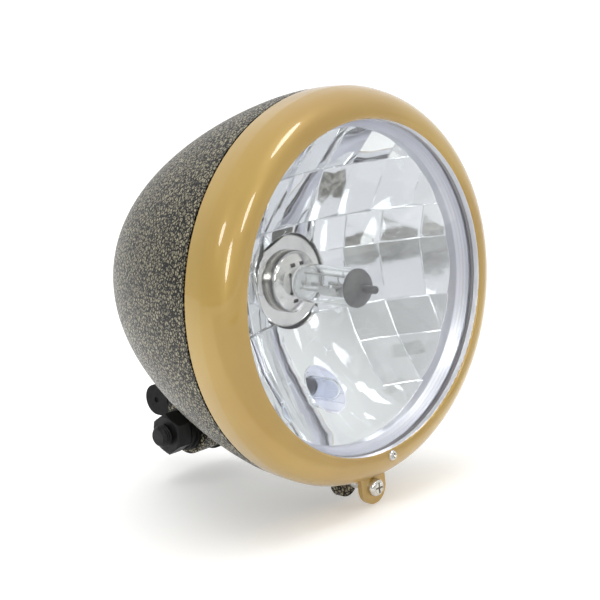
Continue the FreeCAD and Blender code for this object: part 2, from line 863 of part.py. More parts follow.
def bulb_flange():
    # Hollow dish in the neck's hole, on a plate whose lugs rest on the back of the neck
    rear = neck_rear + flange_thick
    slope = dish_edge * (1 - math.sqrt(0.5))
    inside = dish_radius - dish_wall
    back = dish_front + dish_wall
    edge_mid = at(dish_radius - slope, dish_front + slope)
    dish = turned(chain(at(cup_radius - cup_wall, dish_front), at(dish_radius - dish_edge, dish_front),
                        (edge_mid, at(dish_radius, dish_front + dish_edge)), at(dish_radius, neck_rear),
                        at(inside, neck_rear), at(inside, back), at(cup_radius - cup_wall, back),
                        at(cup_radius - cup_wall, dish_front)))
    flat = block(dish_radius, dish_front - past, neck_rear, dish_flat, dish_radius + past)
    dish = dish.cut(spun(flat, dish_flat_turn))
    plate = rod_y(dish_radius, neck_rear, rear)
    limit = rod_y(flange_lug_radius, neck_rear, rear)
    lug_bar = block(flange_lug_half, neck_rear, rear, 0, flange_lug_radius).common(limit)
    lugs = [spun(lug_bar, turn) for turn in flange_lug_turns]
    return dish.fuse([plate] + lugs).removeSplitter()


def bar(start, end, radius):
    return Part.makeCylinder(radius, (end - start).Length, start, end - start)


def filament_frame():
    # Stem in the pinch, a spoke to each of three posts, and the dip shield, welded into one frame
    hub = Vector(0, frame_foot_y, 0)
    frame = rod_y(frame_stem_radius, frame_foot_y - frame_foot_half, capsule_neck_y - capsule_neck_wall)
    for x, z, front in posts:
        frame = frame.fuse(bar(hub, Vector(x, frame_foot_y, z), spoke_radius))
        frame = frame.fuse(rod_y(post_radius, front, frame_foot_y + frame_foot_half, x, z))
    hollow = rod_y(shield_radius - shield_wall, shield_front + shield_wall, shield_rear + past)
    above = block(shield_radius + past, shield_front - past, shield_rear + past, 0, shield_radius + past)
    return frame.fuse(rod_y(shield_radius, shield_front, shield_rear).cut(hollow).cut(above))


def filaments():
    # Each coil hangs on two leads, one to the low posts and one to the high post
    frame = filament_frame()
    left, right, high = posts
    wired = []
    for (front, z), low in zip(coils, (left, right)):
        coil = rod_y(coil_radius, front, front + coil_length, 0, z)
        first = Vector(0, front + coil_length - lead_inset, z)
        second = Vector(0, front + lead_inset, z)
        for start, post in ((first, low), (second, high)):
            end = Vector(post[0], start.y, post[1])
            coil = coil.fuse(bar(start, end, lead_radius))
        wired.append(coil.removeSplitter().cut(frame))
    return Part.makeCompound(wired)


def bulb_base():
    front = neck_rear + flange_thick
    collar_rear = front + base_collar_thick
    return lathe((0, front), (base_collar_radius, front), (base_collar_radius, collar_rear),
                 (base_radius, collar_rear + base_taper), (base_radius, base_rear), (0, base_rear))


def bulb_terminals():
    # Two upright blades and a level one above them
    upright = block(blade_half_thick, base_rear, blade_rear, -blade_half, blade_half)
    level = block(blade_half, base_rear, blade_rear, -blade_half_thick, blade_half_thick)
    blades = []
    for blade, x, z in ((upright, -blade_offset, 0), (upright, blade_offset, 0), (level, 0, blade_offset)):
        one = blade.copy()
        one.translate(Vector(x, 0, z))
        blades.append(one)
    return Part.makeCompound(blades)


def bulb_clip():
    # Wire spring across the back of the bulb's flange, on both sides of the base
    y = neck_rear + flange_thick + clip_wire + clip_wire_play
    side = clip_wire_side
    legs = [Vector(-side, y, clip_wire_top), Vector(-side, y, clip_wire_low), Vector(0, y, clip_wire_bow),
            Vector(side, y, clip_wire_low), Vector(side, y, clip_wire_top)]
    return tube_along(legs, clip_wire)


def dust_boot():
    # Sleeve on the neck, a cone, and a lip that grips the bulb's base
    front = neck_rear - boot_sleeve
    neck = neck_outer + boot_grip
    sleeve = neck_outer + boot_wall
    lip = base_radius + boot_grip
    lip_end = base_rear - boot_lip_rear
    return lathe((neck, front), (sleeve, front), (sleeve, neck_rear + boot_shoulder),
                 (boot_cone_radius, neck_rear + boot_cone), (boot_lip_radius, base_rear - boot_lip_slope),
                 (base_radius + boot_lip_wall, lip_end), (lip, lip_end), (lip, base_rear - boot_lip_front),
                 (base_collar_radius, base_rear - boot_inner_slope),
                 (boot_cone_in_radius, neck_rear + boot_cone_in), (neck, neck_rear + boot_shoulder_in))


# Pilot lamp

def pilot_bulb():
    middle = pilot_tip_y + pilot_glass_radius
    inner_radius = pilot_glass_radius - pilot_glass_wall
    glass = rod_y(pilot_glass_radius, middle, pilot_glass_rear).fuse(ball(pilot_glass_radius, middle))
    hollow = rod_y(inner_radius, middle, pilot_glass_rear - pilot_glass_seal).fuse(ball(inner_radius, middle))
    glass = glass.removeSplitter().cut(hollow.removeSplitter())
    glass.translate(Vector(0, 0, pilot_z))
    return glass


def pilot_holder():
    seat = pilot_glass_radius + pilot_play
    neck = pilot_hole - pilot_play
    back = pocket_floor + pocket_wall
    flange_back = back + holder_flange_thick
    end = back + holder_length
    body = lathe((seat, holder_front), (neck, holder_front), (neck, back), (holder_flange, back),
                 (holder_flange, flange_back), (holder_body, flange_back + holder_taper), (holder_body, end),
                 (0, end), (0, back), (seat, back))
    body.translate(Vector(0, 0, pilot_z))
    return body


def pilot_terminals():
    front = pocket_floor + pocket_wall + holder_length
    blades = []
    for x in (-pilot_blade_x, pilot_blade_x):
        rear = front + pilot_blade_length
        blade = block(blade_half_thick, front, rear, -pilot_blade_half, pilot_blade_half)
        blade.translate(Vector(x, 0, pilot_z))
        blades.append(blade)
    return Part.makeCompound(blades)


pieces = (trim_ring, trim_screw, rim_screw, shell, cable_grommet, mount_bolt, mount_nut, spring_washer,
          nut_washer, head_washer, mount_bracket, lens, lens_gasket, reflector, retainer_clips, bulb_glass,
          bulb_collar, bulb_flange, filament_frame, filaments, bulb_base, bulb_terminals, bulb_clip,
          dust_boot, pilot_bulb, pilot_holder, pilot_terminals)

os.makedirs("parts", exist_ok=True)
to_hole = Vector(-plate_right, -hole_y, -hole_z)
for piece in pieces:
    shape = piece().copy()
    shape.translate(to_hole)
    shape.exportStep("parts/" + piece.__name__ + ".step")
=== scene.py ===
import math
import bpy
from mathutils import Matrix, Vector


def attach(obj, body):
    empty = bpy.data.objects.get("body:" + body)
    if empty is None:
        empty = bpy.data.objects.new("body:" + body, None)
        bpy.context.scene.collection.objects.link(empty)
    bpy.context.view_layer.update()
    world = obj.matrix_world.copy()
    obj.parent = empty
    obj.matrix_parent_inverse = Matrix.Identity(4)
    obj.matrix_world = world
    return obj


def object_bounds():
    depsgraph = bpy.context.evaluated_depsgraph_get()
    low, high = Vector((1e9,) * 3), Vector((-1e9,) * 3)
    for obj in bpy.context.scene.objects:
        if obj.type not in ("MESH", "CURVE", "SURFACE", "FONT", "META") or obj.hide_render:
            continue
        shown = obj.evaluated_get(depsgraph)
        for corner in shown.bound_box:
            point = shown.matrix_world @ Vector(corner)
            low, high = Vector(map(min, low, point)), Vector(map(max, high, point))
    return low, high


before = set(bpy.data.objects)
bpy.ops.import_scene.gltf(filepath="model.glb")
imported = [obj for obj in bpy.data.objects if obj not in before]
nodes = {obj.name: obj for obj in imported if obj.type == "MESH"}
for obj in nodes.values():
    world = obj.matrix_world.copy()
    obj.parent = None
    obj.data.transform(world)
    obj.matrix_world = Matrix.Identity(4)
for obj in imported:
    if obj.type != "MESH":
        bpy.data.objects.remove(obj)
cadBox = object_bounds()
scene = bpy.context.scene
print("frame loaded:", len(nodes), "nodes")

mm = 0.001  # the scene is in metres, so sizes written in millimetres are multiplied by this
lensAxis = Vector((-14.5, 0.0, 66.0)) * mm  # the lamp's optical axis runs along Y through here
lensPlane = -136.0 * mm  # Y of the trim ring's lip
axisPoint = (lensAxis.x, 0.0, lensAxis.z)
flatten = (1.0, 0.0, 1.0)  # takes Y out of a place, so that distances run square to the optical axis
noiseLow, noiseHigh = 0.3, 0.7  # nearly all of a noise lies between these
black = (0.0, 0.0, 0.0, 1.0)
white = (1.0, 1.0, 1.0, 1.0)


def toLinear(hexColour):
    values = [int(hexColour[i:i + 2], 16) / 255 for i in (1, 3, 5)]
    return [v / 12.92 if v <= 0.04045 else ((v + 0.055) / 1.055) ** 2.4 for v in values] + [1.0]


def perMetre(sizeInMm):
    return 1.0 / (sizeInMm * mm)  # the scale that gives a pattern features of this size


def addNode(tree, kind, settings=None, links=None):
    node = tree.nodes.new(kind)
    for name, value in (settings or {}).items():
        if name == "stops":
            while len(node.color_ramp.elements) < len(value):
                node.color_ramp.elements.new(0.5)
            for stop, (place, colour) in zip(node.color_ramp.elements, value):
                stop.position = place
                stop.color = colour
        elif isinstance(name, int) or name in node.inputs:
            node.inputs[name].default_value = value
        else:
            setattr(node, name, value)
    for name, source in (links or {}).items():
        tree.links.new(source, node.inputs[name])
    return node


def startMaterial(name, shaderSettings):
    # a material with its shader joined to its output, and the piece's own coordinates
    material = bpy.data.materials.new(name)
    material.use_nodes = True
    tree = material.node_tree
    tree.nodes.clear()
    shader = addNode(tree, "ShaderNodeBsdfPrincipled", shaderSettings)
    addNode(tree, "ShaderNodeOutputMaterial", links={"Surface": shader.outputs["BSDF"]})
    place = addNode(tree, "ShaderNodeTexCoord").outputs["Object"]
    return material, tree, shader, place


def assign(material, *names):
    for name in names:
        mesh = nodes[name].data
        mesh.materials.clear()
        mesh.materials.append(material)


# gold paint: sprayed two-coat enamel, pale gold with a wet gloss and a faint orange peel;
# the lip's inner edge is left bright
goldPaint = {"paint": "#BB9A49", "shade": "#AF8D41", "drift": 60.0, "metal": 0.25, "wear": 8.0,
             "rough": (0.38, 0.46), "gloss": 0.045, "peel": 3.5, "peelDepth": 0.006,
             "bright": "#E6E6EA", "brightMetal": 0.5, "lip": 69.5}


def makeGoldPaint():
    material, tree, shader, place = startMaterial("goldEnamel", {
        "Metallic": goldPaint["metal"], "Roughness": goldPaint["rough"][0], "Coat Weight": 1.0,
        "Coat Roughness": goldPaint["gloss"], "Coat IOR": 1.5})
    drift = addNode(tree, "ShaderNodeTexNoise", {"Scale": perMetre(goldPaint["drift"]), "Detail": 2.0},
                    {"Vector": place})
    tone = addNode(tree, "ShaderNodeValToRGB", {"stops": [(0.35, toLinear(goldPaint["shade"])),
                                                        (0.65, toLinear(goldPaint["paint"]))]},
                   {"Fac": drift.outputs["Fac"]})
    flat = addNode(tree, "ShaderNodeVectorMath", {"operation": "MULTIPLY", 1: flatten}, {0: place})
    reach = addNode(tree, "ShaderNodeVectorMath", {"operation": "DISTANCE", 1: axisPoint},
                    {0: flat.outputs["Vector"]})
    onLip = addNode(tree, "ShaderNodeMath", {"operation": "LESS_THAN", 1: goldPaint["lip"] * mm},
                    {0: reach.outputs["Value"]})
    colour = addNode(tree, "ShaderNodeMix", {"data_type": "RGBA", 7: toLinear(goldPaint["bright"])},
                     {0: onLip.outputs["Value"], 6: tone.outputs["Color"]})
    metal = addNode(tree, "ShaderNodeMapRange", {"To Min": goldPaint["metal"], "To Max": goldPaint["brightMetal"]},
                    {"Value": onLip.outputs["Value"]})
    wear = addNode(tree, "ShaderNodeTexNoise", {"Scale": perMetre(goldPaint["wear"]), "Detail": 4.0},
                   {"Vector": place})
    rough = addNode(tree, "ShaderNodeMapRange", {"From Min": noiseLow, "From Max": noiseHigh,
                                                 "To Min": goldPaint["rough"][0], "To Max": goldPaint["rough"][1]},
                    {"Value": wear.outputs["Fac"]})
    peel = addNode(tree, "ShaderNodeTexNoise", {"Scale": perMetre(goldPaint["peel"]), "Detail": 1.0},
                   {"Vector": place})
    relief = addNode(tree, "ShaderNodeBump", {"Distance": goldPaint["peelDepth"] * mm, "Strength": 0.5},
                     {"Height": peel.outputs["Fac"]})
    tree.links.new(colour.outputs[2], shader.inputs["Base Color"])
    tree.links.new(metal.outputs["Result"], shader.inputs["Metallic"])
    tree.links.new(rough.outputs["Result"], shader.inputs["Roughness"])
    tree.links.new(relief.outputs["Normal"], shader.inputs["Coat Normal"])
    return material


# hammer paint: stoved enamel that draws into pale worm-like islands of metal flake with black grooves
# between them, under a thin clear gloss
hammerPaint = {"groove": "#040302", "flake": "#A8A186", "flakeDull": "#5A5546", "worm": 1.75, "draw": 1.8,
               "grooveEdge": (0.1, 0.19), "speck": 0.8, "depth": 0.1, "grooveRough": 0.55, "flakeRough": 0.4}


def makeHammerPaint():
    material, tree, shader, place = startMaterial("hammerEnamel", {
        "Metallic": 0.15, "Roughness": 0.5, "Specular IOR Level": 0.15, "Coat Weight": 0.28,
        "Coat Roughness": 0.2, "Coat IOR": 1.5})
    flow = addNode(tree, "ShaderNodeTexNoise", {"Scale": perMetre(hammerPaint["worm"]), "Detail": 1.0},
                   {"Vector": place})
    drawn = addNode(tree, "ShaderNodeVectorMath", {"operation": "MULTIPLY_ADD",
                                                   1: [hammerPaint["draw"] * mm] * 3},
                    {0: flow.outputs["Color"], 2: place})
    worms = addNode(tree, "ShaderNodeTexVoronoi", {"feature": "DISTANCE_TO_EDGE",
                                                   "Scale": perMetre(hammerPaint["worm"])},
                    {"Vector": drawn.outputs["Vector"]})
    islands = addNode(tree, "ShaderNodeValToRGB", {"stops": [(hammerPaint["grooveEdge"][0], black),
                                                           (hammerPaint["grooveEdge"][1], white)]},
                      {"Fac": worms.outputs["Distance"]})
    specks = addNode(tree, "ShaderNodeTexNoise", {"Scale": perMetre(hammerPaint["speck"]), "Detail": 1.0},
                     {"Vector": place})
    flake = addNode(tree, "ShaderNodeValToRGB", {"stops": [(0.4, toLinear(hammerPaint["flakeDull"])),
                                                         (0.6, toLinear(hammerPaint["flake"]))]},
                    {"Fac": specks.outputs["Fac"]})
    tone = addNode(tree, "ShaderNodeMix", {"data_type": "RGBA", 6: toLinear(hammerPaint["groove"])},
                   {0: islands.outputs["Color"], 7: flake.outputs["Color"]})
    rough = addNode(tree, "ShaderNodeMapRange", {"To Min": hammerPaint["grooveRough"],
                                                 "To Max": hammerPaint["flakeRough"]},
                    {"Value": islands.outputs["Color"]})
    relief = addNode(tree, "ShaderNodeBump", {"Distance": hammerPaint["depth"] * mm, "Strength": 0.8},
                     {"Height": islands.outputs["Color"]})
    tree.links.new(tone.outputs[2], shader.inputs["Base Color"])
    tree.links.new(rough.outputs["Result"], shader.inputs["Roughness"])
    tree.links.new(relief.outputs["Normal"], shader.inputs["Normal"])
    return material


# pressed glass: clear, with the slow waves that a press leaves in it, and ground to a pale satin at its edge
lensGlass = {"clear": "#FBFDFD", "ground": "#E4E4EA", "edge": 68.9, "wave": 14.0, "waveDepth": 0.02}


def makeLensGlass():
    material, tree, shader, place = startMaterial("pressedGlass", {
        "Base Color": toLinear(lensGlass["clear"]), "Transmission Weight": 1.0, "IOR": 1.5, "Roughness": 0.0})
    flat = addNode(tree, "ShaderNodeVectorMath", {"operation": "MULTIPLY", 1: flatten}, {0: place})
    reach = addNode(tree, "ShaderNodeVectorMath", {"operation": "DISTANCE", 1: axisPoint},
                    {0: flat.outputs["Vector"]})
    atEdge = addNode(tree, "ShaderNodeMath", {"operation": "GREATER_THAN", 1: lensGlass["edge"] * mm},
                     {0: reach.outputs["Value"]})
    waves = addNode(tree, "ShaderNodeTexNoise", {"Scale": perMetre(lensGlass["wave"]), "Detail": 1.0},
                    {"Vector": place})
    relief = addNode(tree, "ShaderNodeBump", {"Distance": lensGlass["waveDepth"] * mm, "Strength": 0.3},
                     {"Height": waves.outputs["Fac"]})
    tree.links.new(relief.outputs["Normal"], shader.inputs["Normal"])
    ground = addNode(tree, "ShaderNodeBsdfPrincipled", {"Base Color": toLinear(lensGlass["ground"]),
                                                        "Roughness": 0.3, "Transmission Weight": 0.3})
    both = addNode(tree, "ShaderNodeMixShader", links={0: atEdge.outputs["Value"], 1: shader.outputs["BSDF"],
                                                       2: ground.outputs["BSDF"]})
    tree.links.new(both.outputs["Shader"], tree.nodes["Material Output"].inputs["Surface"])
    return material


# mirror coat: aluminium evaporated on lacquer, a near perfect mirror with soft edges, satin on the rim's
# bevel; the moulding is bare and pale outside the bevel and in the pilot's pocket
mirrorCoat = {"mirror": "#F1F2F3", "satin": "#D2D2DA", "bare": "#F4F4FA", "bevel": 65.6, "rim": 69.45,
              "pilotDrop": 45.4, "pocket": 9.45, "edge": 0.4, "wear": 9.0, "rough": (0.015, 0.05),
              "satinRough": 0.3, "bareRough": 0.45, "lacquer": 5.0, "lacquerDepth": 0.02}


def makeMirrorCoat():
    material, tree, shader, place = startMaterial("evaporatedAluminium", {"Metallic": 1.0})
    pilot = (lensAxis.x, 0.0, lensAxis.z - mirrorCoat["pilotDrop"] * mm)
    flat = addNode(tree, "ShaderNodeVectorMath", {"operation": "MULTIPLY", 1: flatten}, {0: place})
    reach = addNode(tree, "ShaderNodeVectorMath", {"operation": "DISTANCE", 1: axisPoint},
                    {0: flat.outputs["Vector"]})
    fromPilot = addNode(tree, "ShaderNodeVectorMath", {"operation": "DISTANCE", 1: pilot},
                        {0: flat.outputs["Vector"]})
    onBevel = addNode(tree, "ShaderNodeMath", {"operation": "GREATER_THAN", 1: mirrorCoat["bevel"] * mm},
                      {0: reach.outputs["Value"]})
    onRim = addNode(tree, "ShaderNodeMath", {"operation": "GREATER_THAN", 1: mirrorCoat["rim"] * mm},
                    {0: reach.outputs["Value"]})
    inPocket = addNode(tree, "ShaderNodeMath", {"operation": "LESS_THAN", 1: mirrorCoat["pocket"] * mm},
                       {0: fromPilot.outputs["Value"]})
    bare = addNode(tree, "ShaderNodeMath", {"operation": "MAXIMUM"},
                   {0: onRim.outputs["Value"], 1: inPocket.outputs["Value"]})
    coated = addNode(tree, "ShaderNodeMix", {"data_type": "RGBA", 6: toLinear(mirrorCoat["mirror"]),
                                             7: toLinear(mirrorCoat["satin"])}, {0: onBevel.outputs["Value"]})
    tone = addNode(tree, "ShaderNodeMix", {"data_type": "RGBA", 7: toLinear(mirrorCoat["bare"])},
                   {0: bare.outputs["Value"], 6: coated.outputs[2]})
    wear = addNode(tree, "ShaderNodeTexNoise", {"Scale": perMetre(mirrorCoat["wear"]), "Detail": 4.0},
                   {"Vector": place})
    haze = addNode(tree, "ShaderNodeMapRange", {"From Min": noiseLow, "From Max": noiseHigh,
                                                "To Min": mirrorCoat["rough"][0], "To Max": mirrorCoat["rough"][1]},
                   {"Value": wear.outputs["Fac"]})
    satin = addNode(tree, "ShaderNodeMapRange", {"To Max": mirrorCoat["satinRough"]},
                    {"Value": onBevel.outputs["Value"], "To Min": haze.outputs["Result"]})
    rough = addNode(tree, "ShaderNodeMapRange", {"To Max": mirrorCoat["bareRough"]},
                    {"Value": bare.outputs["Value"], "To Min": satin.outputs["Result"]})
    metal = addNode(tree, "ShaderNodeMapRange", {"To Min": 1.0, "To Max": 0.0}, {"Value": bare.outputs["Value"]})
    lacquer = addNode(tree, "ShaderNodeTexNoise", {"Scale": perMetre(mirrorCoat["lacquer"]), "Detail": 1.5},
                      {"Vector": place})
    softEdge = addNode(tree, "ShaderNodeBevel", {"samples": 6, "Radius": mirrorCoat["edge"] * mm})
    ripple = addNode(tree, "ShaderNodeBump", {"Distance": mirrorCoat["lacquerDepth"] * mm, "Strength": 0.25},
                     {"Height": lacquer.outputs["Fac"], "Normal": softEdge.outputs["Normal"]})
    tree.links.new(tone.outputs[2], shader.inputs["Base Color"])
    tree.links.new(rough.outputs["Result"], shader.inputs["Roughness"])
    tree.links.new(metal.outputs["Result"], shader.inputs["Metallic"])
    tree.links.new(ripple.outputs["Normal"], shader.inputs["Normal"])
    return material


# bulb glass: clear quartz whose tip is dipped in a satin grey coat and whose pinched end is ribbed and white
bulbGlass = {"clear": "#FCFDFD", "coat": "#4F4E4D", "coatLight": "#5B5A58", "coatGrain": 1.2, "coatLine": 8.0,
             "pinch": "#FDFDFD", "pinchLine": 34.5, "pinchFade": 2.0, "pinchShare": 0.8, "rib": 1.1, "ribDepth": 0.5}


def makeBulbGlass():
    material, tree, shader, place = startMaterial("quartzGlass", {
        "Base Color": toLinear(bulbGlass["clear"]), "Transmission Weight": 1.0, "IOR": 1.46, "Roughness": 0.0})
    axes = addNode(tree, "ShaderNodeSeparateXYZ", links={"Vector": place})
    ahead = addNode(tree, "ShaderNodeMath", {"operation": "LESS_THAN", 1: lensPlane + bulbGlass["coatLine"] * mm},
                    {0: axes.outputs["Y"]})
    grain = addNode(tree, "ShaderNodeTexNoise", {"Scale": perMetre(bulbGlass["coatGrain"]), "Detail": 4.0},
                    {"Vector": place})
    tone = addNode(tree, "ShaderNodeValToRGB", {"stops": [(noiseLow, toLinear(bulbGlass["coat"])),
                                                        (noiseHigh, toLinear(bulbGlass["coatLight"]))]},
                   {"Fac": grain.outputs["Fac"]})
    coat = addNode(tree, "ShaderNodeBsdfPrincipled", {"Roughness": 0.45}, {"Base Color": tone.outputs["Color"]})
    ribs = addNode(tree, "ShaderNodeTexNoise", {"Scale": perMetre(bulbGlass["rib"]), "Detail": 2.0},
                   {"Vector": place})
    relief = addNode(tree, "ShaderNodeBump", {"Distance": bulbGlass["ribDepth"] * mm, "Strength": 0.9},
                     {"Height": ribs.outputs["Fac"]})
    pinch = addNode(tree, "ShaderNodeBsdfPrincipled", {"Base Color": toLinear(bulbGlass["pinch"]), "Roughness": 0.1,
                                                       "Transmission Weight": 0.2, "IOR": 1.46},
                    {"Normal": relief.outputs["Normal"]})
    line = lensPlane + bulbGlass["pinchLine"] * mm
    pinched = addNode(tree, "ShaderNodeMapRange", {"From Min": line, "From Max": line + bulbGlass["pinchFade"] * mm,
                                                   "To Max": bulbGlass["pinchShare"]}, {"Value": axes.outputs["Y"]})
    body = addNode(tree, "ShaderNodeMixShader", links={0: pinched.outputs["Result"], 1: shader.outputs["BSDF"],
                                                       2: pinch.outputs["BSDF"]})
    both = addNode(tree, "ShaderNodeMixShader", links={0: ahead.outputs["Value"], 1: body.outputs["Shader"],
                                                       2: coat.outputs["BSDF"]})
    tree.links.new(both.outputs["Shader"], tree.nodes["Material Output"].inputs["Surface"])
    return material


# bulb metal: nickel-plated cup and flange, drawn and polished, with painted shade: a dark band on the cup's wall
# behind its shoulder
bulbMetal = {"bright": "#E3E1DD", "soft": "#D6D4CF", "drawn": 8.0, "wear": 6.0, "rough": (0.1, 0.16),
             "paintedShade": "#4B4944", "shoulder": 42.6, "dark": 43.6, "foot": 46.6}


def makeBulbMetal():
    material, tree, shader, place = startMaterial("drawnNickel", {"Metallic": 1.0, "Roughness": bulbMetal["rough"][1]})
    drawn = addNode(tree, "ShaderNodeTexNoise", {"Scale": perMetre(bulbMetal["drawn"]), "Detail": 2.0},
                    {"Vector": place})
    tone = addNode(tree, "ShaderNodeValToRGB", {"stops": [(noiseLow, toLinear(bulbMetal["soft"])),
                                                        (noiseHigh, toLinear(bulbMetal["bright"]))]},
                   {"Fac": drawn.outputs["Fac"]})
    axes = addNode(tree, "ShaderNodeSeparateXYZ", links={"Vector": place})
    depth = addNode(tree, "ShaderNodeMapRange", {"From Min": lensPlane + bulbMetal["shoulder"] * mm,
                                                 "From Max": lensPlane + bulbMetal["foot"] * mm},
                    {"Value": axes.outputs["Y"]})
    # painted shade: the cup's wall is darkened in a band from its shoulder to just before its foot
    turn = (bulbMetal["dark"] - bulbMetal["shoulder"]) / (bulbMetal["foot"] - bulbMetal["shoulder"])
    shadeBand = addNode(tree, "ShaderNodeValToRGB", {"stops": [(0.0, black), (turn, white),
                                                        (0.88, (0.35, 0.35, 0.35, 1.0)), (0.9, black)]},
                   {"Fac": depth.outputs["Result"]})
    paintedShadeTone = addNode(tree, "ShaderNodeMix", {"data_type": "RGBA", 7: toLinear(bulbMetal["paintedShade"])},
                       {0: shadeBand.outputs["Color"], 6: tone.outputs["Color"]})
    wear = addNode(tree, "ShaderNodeTexNoise", {"Scale": perMetre(bulbMetal["wear"]), "Detail": 4.0},
                   {"Vector": place})
    rough = addNode(tree, "ShaderNodeMapRange", {"From Min": noiseLow, "From Max": noiseHigh,
                                                 "To Min": bulbMetal["rough"][0], "To Max": bulbMetal["rough"][1]},
                    {"Value": wear.outputs["Fac"]})
    tree.links.new(paintedShadeTone.outputs[2], shader.inputs["Base Color"])
    tree.links.new(rough.outputs["Result"], shader.inputs["Roughness"])
    return material


# blown glass: the pilot bulb, clear with a slight ripple
pilotGlass = {"clear": "#F4F7FB", "ripple": 2.0, "depth": 0.05}


def makePilotGlass():
    material, tree, shader, place = startMaterial("blownGlass", {
        "Base Color": toLinear(pilotGlass["clear"]), "Transmission Weight": 1.0, "IOR": 1.5, "Roughness": 0.0})
    ripple = addNode(tree, "ShaderNodeTexNoise", {"Scale": perMetre(pilotGlass["ripple"]), "Detail": 1.0},
                     {"Vector": place})
    relief = addNode(tree, "ShaderNodeBump", {"Distance": pilotGlass["depth"] * mm, "Strength": 0.5},
                     {"Height": ripple.outputs["Fac"]})
    tree.links.new(relief.outputs["Normal"], shader.inputs["Normal"])
    return material


# finishes of one grain: two tones that drift over grains of a size in millimetres, and, where a finish has
# them, roughness worn in patches between two values and a relief of that depth

# plated steel: bright zinc or nickel on turned heads, with fine turning marks
brightSteel = {"name": "brightPlatedSteel", "metal": 1.0, "rough": 0.2, "dark": "#B9B7B2", "pale": "#E4E2DC",
               "paleAt": 0.7, "grain": 0.6, "detail": 3.0, "wear": 1.5, "worn": (0.12, 0.28)}
# spring steel: rolled strip and drawn wire with an oily grey sheen
springSteel = {"name": "springSteel", "metal": 1.0, "rough": 0.35, "dark": "#7C7B79", "pale": "#A9A8A5",
               "paleAt": 0.7, "grain": 2.0, "detail": 4.0, "wear": 3.0, "worn": (0.28, 0.42)}
# molybdenum sheet and wire: the grey frame inside the capsule
frameMetal = {"name": "molybdenumSheet", "metal": 1.0, "rough": 0.3, "dark": "#B9B8B5", "pale": "#DAD9D6",
              "paleAt": 0.7, "grain": 0.8, "detail": 3.0}
# rolled brass: the plug blades, a little tarnished
bladeBrass = {"name": "rolledBrass", "metal": 1.0, "rough": 0.3, "dark": "#A98D4A", "pale": "#D2B872",
              "paleAt": 0.7, "grain": 2.5, "detail": 5.0, "wear": 2.0, "worn": (0.22, 0.4)}
# moulded rubber: matt black with a dusty bloom
mouldedRubber = {"name": "mouldedRubber", "metal": 0.0, "rough": 0.75, "shine": 0.4, "dark": "#121212",
                 "pale": "#242424", "paleAt": 0.75, "grain": 4.0, "detail": 5.0, "depth": 0.05, "relief": 0.3}
# moulded thermoset: the heat-proof base, black with a dull sheen
basePlastic = {"name": "blackThermoset", "metal": 0.0, "rough": 0.5, "dark": "#151515", "pale": "#222120",
               "paleAt": 0.7, "grain": 1.0, "detail": 5.0, "depth": 0.03, "relief": 0.3}
# moulded nylon: the pilot holder, natural white with a cold cast
holderNylon = {"name": "naturalNylon", "metal": 0.0, "rough": 0.45, "dark": "#E2E3EB", "pale": "#EEEFF6",
               "paleAt": 0.7, "grain": 3.0, "detail": 3.0}
# powder coat on the plate: satin black, nearly even
powderCoat = {"name": "blackPowderCoat", "metal": 0.0, "rough": 0.5, "shine": 0.2, "dark": "#070707",
              "pale": "#1B1B1C", "paleAt": 0.95, "grain": 1.6, "detail": 6.0, "breakUp": 0.6, "wear": 2.5,
              "worn": (0.5, 0.65), "depth": 0.03, "relief": 0.35}
# black oxide on the fasteners: thin and oily, with paler worn grain
blackOxide = {"name": "blackOxide", "metal": 0.0, "rough": 0.5, "shine": 0.3, "dark": "#070707",
              "pale": "#1B1B1C", "paleAt": 0.75, "grain": 1.6, "detail": 6.0, "breakUp": 0.6, "wear": 2.5,
              "worn": (0.35, 0.55), "depth": 0.03, "relief": 0.35}


def makeFinish(finish):
    material, tree, shader, place = startMaterial(finish["name"], {
        "Metallic": finish["metal"], "Roughness": finish["rough"], "Specular IOR Level": finish.get("shine", 0.5)})
    grain = addNode(tree, "ShaderNodeTexNoise", {"Scale": perMetre(finish["grain"]), "Detail": finish["detail"],
                                                 "Roughness": finish.get("breakUp", 0.5)}, {"Vector": place})
    tone = addNode(tree, "ShaderNodeValToRGB", {"stops": [(noiseLow, toLinear(finish["dark"])),
                                                        (finish["paleAt"], toLinear(finish["pale"]))]},
                   {"Fac": grain.outputs["Fac"]})
    tree.links.new(tone.outputs["Color"], shader.inputs["Base Color"])
    if "wear" in finish:
        wear = addNode(tree, "ShaderNodeTexNoise", {"Scale": perMetre(finish["wear"]), "Detail": 4.0},
                       {"Vector": place})
        rough = addNode(tree, "ShaderNodeMapRange", {"From Min": noiseLow, "From Max": noiseHigh,
                                                     "To Min": finish["worn"][0], "To Max": finish["worn"][1]},
                        {"Value": wear.outputs["Fac"]})
        tree.links.new(rough.outputs["Result"], shader.inputs["Roughness"])
    if "depth" in finish:
        relief = addNode(tree, "ShaderNodeBump", {"Distance": finish["depth"] * mm, "Strength": finish["relief"]},
                         {"Height": grain.outputs["Fac"]})
        tree.links.new(relief.outputs["Normal"], shader.inputs["Normal"])
    return material


